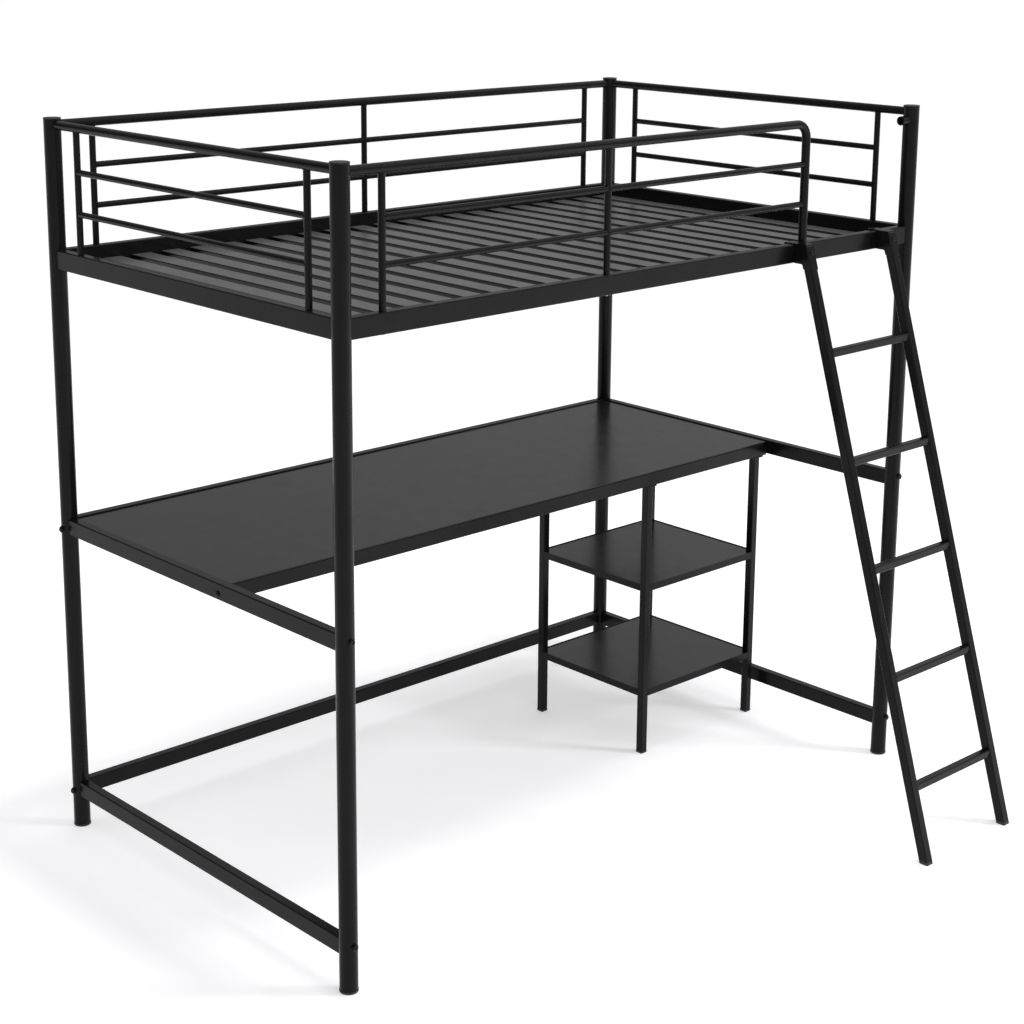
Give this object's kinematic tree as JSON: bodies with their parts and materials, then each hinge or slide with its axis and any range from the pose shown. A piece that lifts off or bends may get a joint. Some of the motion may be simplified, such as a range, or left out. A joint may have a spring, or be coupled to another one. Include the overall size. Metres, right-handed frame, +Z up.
{
  "type": "loft bed with desk",
  "caption": "Steel-tube loft bed with guard rails, a slatted deck, a desk and a shelf unit below it, and a sloping ladder that hooks over the front side rail.",
  "frame": {"origin": "on the floor under the middle of the whole object's box, ladder included", "axes": "+X along the bed to the right as seen from the ladder's side, +Y from the ladder side to the desk's back, +Z up"},
  "size_m": [1.9658, 1.6483, 1.829],
  "materials": {
    "black_steel": "satin",
    "slat_steel": "satin",
    "black_plastic": "matte",
    "dark_board": "satin",
    "black_fasteners": "satin",
    "zinc_fasteners": "satin"
  },
  "bodies": {
    "bed": {"back_guard_bars": "black_steel", "back_guard_top_rail": "black_steel", "back_guard_uprights": "black_steel", "bed_rail_lugs": "black_steel", "desk_ledges": "black_steel", "desk_panel": "dark_board", "desk_rail_back": "black_steel", "desk_rail_bolts": "black_fasteners", "desk_rail_front": "black_steel", "desk_rail_left": "black_steel", "desk_rail_nuts": "zinc_fasteners", "desk_rail_right": "black_steel", "end_rail_left": "black_steel", "end_rail_right": "black_steel", "front_guard_bars": "black_steel", "front_guard_bent_tube": "black_steel", "front_guard_uprights": "black_steel", "guard_screws": "zinc_fasteners", "guard_spare_socket": "black_steel", "guard_spigots": "black_steel", "left_guard_bars": "black_steel", "left_guard_top_rail": "black_steel", "left_guard_uprights": "black_steel", "lower_rail_back": "black_steel", "lower_rail_left": "black_steel", "lower_rail_right": "black_steel", "lower_shelf_frame": "black_steel", "lower_shelf_panel": "dark_board", "panel_screws": "zinc_fasteners", "post_back_left": "black_steel", "post_back_right": "black_steel", "post_bolts": "black_fasteners", "post_feet": "black_plastic", "post_front_left": "black_steel", "post_front_right": "black_steel", "post_top_caps": "black_plastic", "rail_nuts": "zinc_fasteners", "right_guard_bars": "black_steel", "right_guard_top_rail": "black_steel", "right_guard_uprights": "black_steel", "saddle_washers": "black_fasteners", "shelf_feet": "black_plastic", "shelf_leg_plates": "black_steel", "shelf_legs": "black_steel", "side_rail_back": "black_steel", "side_rail_front": "black_steel", "slat_ledges": "black_steel", "slats": "slat_steel", "upper_shelf_frame": "black_steel", "upper_shelf_panel": "dark_board", "upright_inserts": "zinc_fasteners"},
    "ladder": {"ladder_feet": "black_plastic", "ladder_hook_bolts": "black_fasteners", "ladder_hook_left": "black_steel", "ladder_hook_nuts": "zinc_fasteners", "ladder_hook_right": "black_steel", "ladder_rungs": "black_steel", "ladder_stile_caps": "black_plastic", "ladder_stile_left": "black_steel", "ladder_stile_right": "black_steel"}
  },
  "joints": [
    {"name": "ladder_lift", "type": "slide", "parent": "bed", "child": "ladder", "axis": [0, 0, 1], "range_m": [0, 0.06]}
  ]
}
